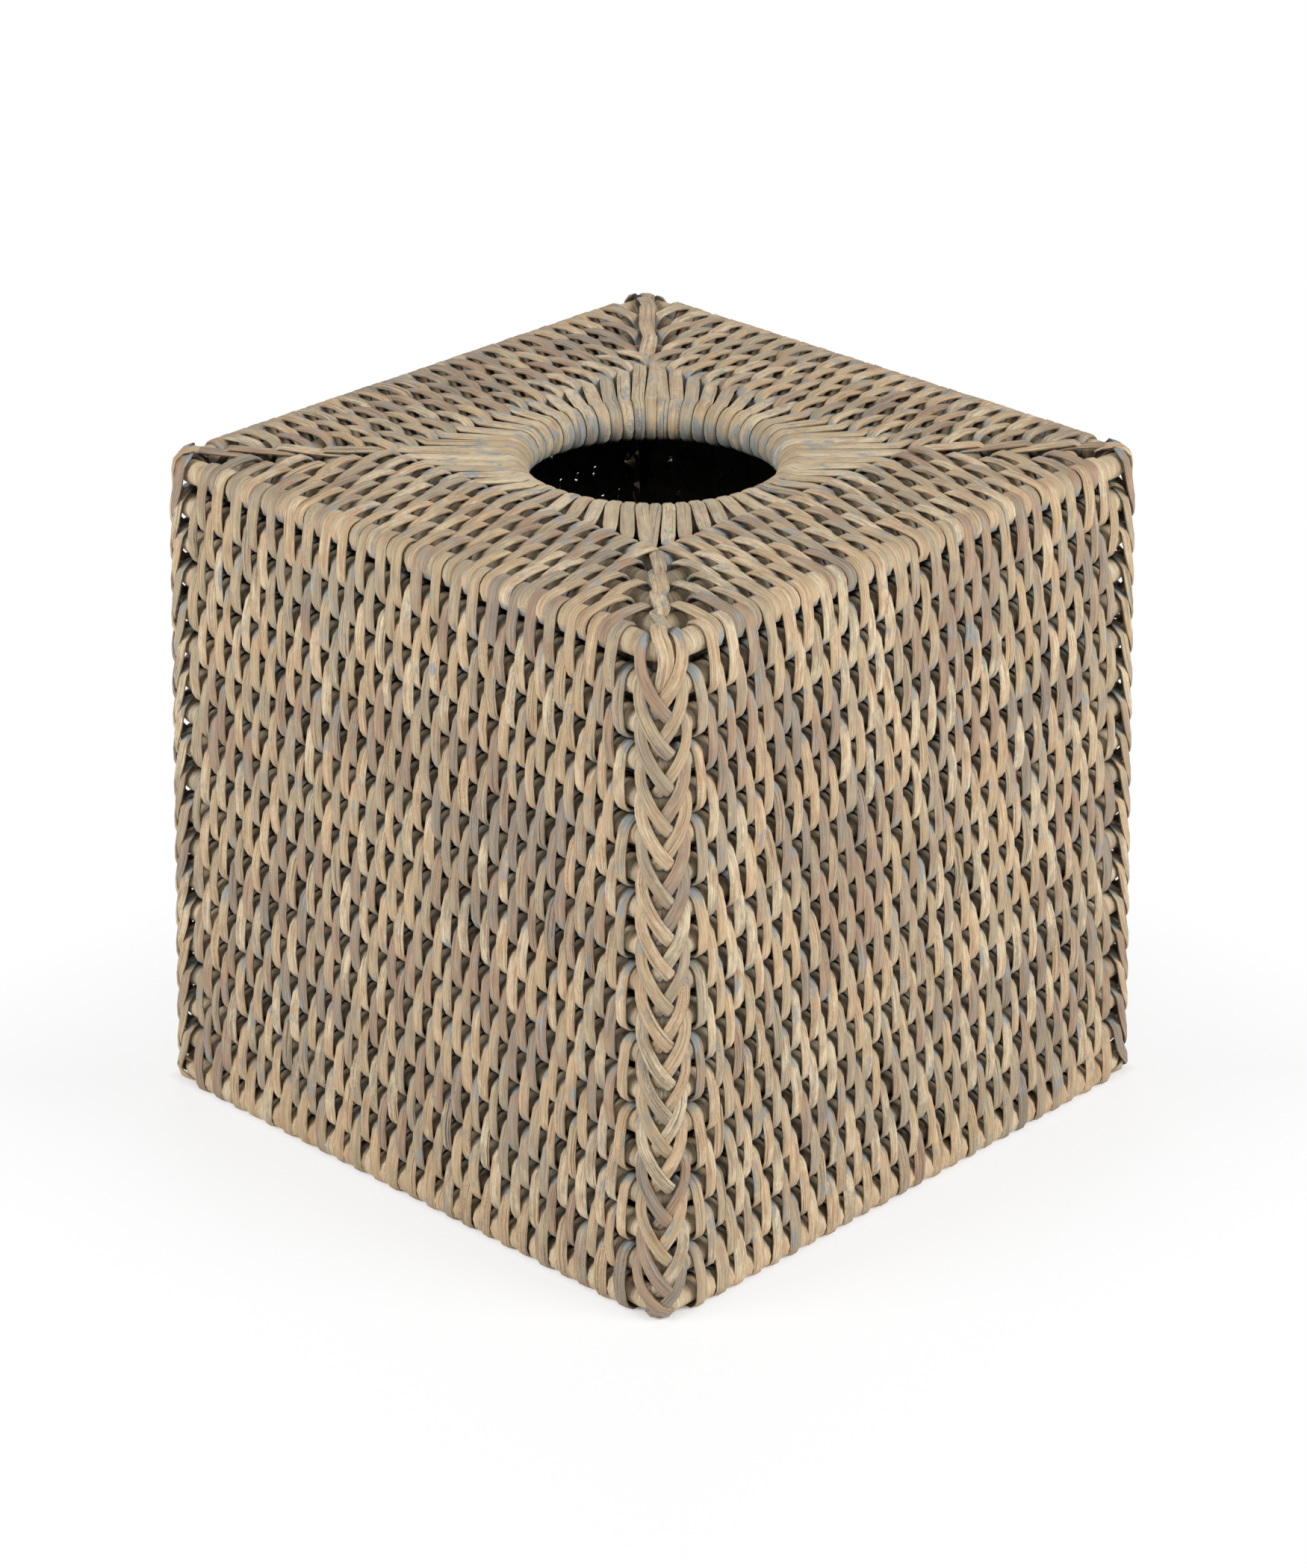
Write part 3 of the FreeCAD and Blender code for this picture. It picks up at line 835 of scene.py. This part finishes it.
def make_corners(rows_tree):
    draw = random.Random(21)
    kinds = 6
    braid = []
    for route in [CORNER_ROUTE + CORNER_RETURN] * kinds + [RIM_ROUTE] * kinds:
        closed = route != RIM_ROUTE
        braid.append(strand_mesh("front_strap", [corner_stations(draw, False, route)], closed=closed))
        left = strand_mesh("left_strap", [corner_stations(draw, True, route)], closed=closed)
        left.transform(Matrix.Translation((row_growth / 2, row_growth / 2, wall_pitch / 2)))
        braid.append(left)
    braid_kit = strand_kit("corner_strap", braid)
    bend_centre = edge_half - corner_bend
    # Cane corners along a diagonal of the top, from the middle out
    corner_qs = [(half - corner_bend) * math.sqrt(2) + corner_bend
                 for half in sorted(top_halves) + [edge_half]]
    last = len(corner_qs) - 2
    for quarter, corner in enumerate(CORNERS):
        straps = grown("straps_corner_" + corner, rows_tree, {
            "Strands": braid_kit, "Kinds": 2 * kinds, "Rows": 2 * wall_rows, "Columns": 1,
            "Spacing": 0.0, "First row": Vector((-bend_centre, -bend_centre, edge_z)),
            "Row step": Vector((-row_growth / 2, -row_growth / 2, -wall_pitch / 2)),
            "Spread": 0.0, "Reach": 1.0, "Reach step": 0.0, "Turn": Vector((0, 0, 0)),
            "Sideways play": 0.0, "Slant play": 0.0, "Width play": 0.0,
            "Fold under": Vector((0.7, 0.7, 0)), "First rows": 0, "Last rows": 2,
            "Quarter": quarter, "Seed": 400 + quarter, "Finish": corner_finish})
        stands_for(straps, "corner_braid_" + corner)
        mitre = strand_mesh("mitre", [fold_stations(draw)] + [
            mitre_stations(draw, corner_qs[step], corner_qs[step + 1], step == last)
            for step in range(last + 1)], draw, closed=False)
        piece = place_made("straps_mitre_" + corner, mitre, quarter, corner_finish)
        stands_for(piece, "mitre_straps_" + corner)


def make_opening():
    draw = random.Random(31)
    for quarter, side in enumerate(SIDES):
        straps = [opening_stations(draw, number) for number in range(straps_per_side)]
        mesh = strand_mesh("opening", straps, draw)
        piece = place_made("straps_opening_" + side, mesh, quarter, opening_finish)
        stands_for(piece, "opening_wrap_" + side)


# Camera, light and stage

def make_camera():
    """Long lens, above the cover, looking down at its front left corner."""
    place = (-0.6259, -0.6056, 0.4783)
    right = Vector((0.6953, -0.7188, 0.0)).normalized()
    ahead = Vector((0.6504, 0.6292, -0.4256)).normalized()
    up = right.cross(ahead)
    camera = bpy.data.cameras.new("photo_camera")
    camera.lens = 105.35
    camera.sensor_width = 36.0
    camera.clip_end = 20.0
    eye = bpy.data.objects.new("photo_camera", camera)
    turn = Matrix((right, up, -ahead)).transposed().to_4x4()
    eye.matrix_world = Matrix.Translation(place) @ turn
    scene.collection.objects.link(eye)
    scene.camera = eye


def add_lamp(name, place, aim, size, power):
    lamp = bpy.data.lights.new(name, "AREA")
    lamp.shape = "SQUARE"
    lamp.size = size
    lamp.energy = power
    holder = bpy.data.objects.new(name, lamp)
    holder.location = place
    holder.rotation_euler = (Vector(aim) - Vector(place)).to_track_quat("-Z", "Y").to_euler()
    scene.collection.objects.link(holder)


def make_floor():
    """Pale floor, nearly white to the camera outside the cover, with the cover's shadow on it."""
    reach = 4.0
    near_white = 0.72           # share of plain white beside the cover
    far_white = 1.0             # and where the shadow ends
    shadow_reach = 70 * MM
    mesh = bpy.data.meshes.new("floor")
    mesh.from_pydata([(-reach, -reach, 0), (reach, -reach, 0), (reach, reach, 0), (-reach, reach, 0)],
                     [], [(0, 1, 2, 3)])
    floor = bpy.data.objects.new("floor", mesh)
    scene.collection.objects.link(floor)
    material = bpy.data.materials.new("white_floor")
    material.use_nodes = True
    tree = material.node_tree
    shader = tree.nodes["Principled BSDF"]
    shader.inputs["Base Color"].default_value = (0.93, 0.93, 0.93, 1)
    shader.inputs["Roughness"].default_value = 0.9
    away = calc(tree, "MAXIMUM", *from_middle(tree))
    beside = ramped(tree, away, rim_half, rim_half + 4 * MM, 0.0, near_white)
    beyond = ramped(tree, away, rim_half, rim_half + shadow_reach, 0.0, far_white - near_white)
    seen = node(tree, "ShaderNodeLightPath").outputs["Is Camera Ray"]
    share = calc(tree, "MULTIPLY", seen, calc(tree, "ADD", beside, beyond))
    white = node(tree, "ShaderNodeEmission", {"Color": (1, 1, 1, 1), "Strength": 1.0})
    mixed = node(tree, "ShaderNodeMixShader", {0: share, 1: shader.outputs[0], 2: white.outputs[0]})
    tree.links.new(mixed.outputs[0], tree.nodes["Material Output"].inputs["Surface"])
    mesh.materials.append(material)


def make_light():
    """Four soft lamps and a faint fill; the camera sees the surroundings as white."""
    faint_fill = 0.025
    world = bpy.data.worlds.new("studio")
    scene.world = world
    world.use_nodes = True
    tree = world.node_tree
    background = tree.nodes["Background"]
    seen = node(tree, "ShaderNodeLightPath").outputs["Is Camera Ray"]
    strength = ramped(tree, seen, 0.0, 1.0, faint_fill, 1.0)
    tree.links.new(strength, background.inputs["Strength"])
    background.inputs["Color"].default_value = (1, 1, 1, 1)
    middle = (0, 0, 0.07)
    add_lamp("left_softbox", (-1.25, 0.55, 0.85), middle, 0.8, 18.8)
    add_lamp("right_softbox", (0.5, -1.3, 0.87), middle, 0.8, 22.3)
    add_lamp("camera_side", (-0.9, -0.9, 1.3), middle, 0.9, 5.0)
    add_lamp("back_softbox", (1.0, 1.0, 0.8), middle, 0.9, 6.3)


make_canes()
rows_tree = woven_rows_tree()
make_lacing(rows_tree)
make_corners(rows_tree)
make_opening()
make_camera()
make_floor()
make_light()

scene.view_settings.view_transform = "Standard"

# The loose strands of the kits are in the weave now
for loose in [one for one in bpy.data.objects if one.name not in scene.objects]:
    bpy.data.objects.remove(loose)
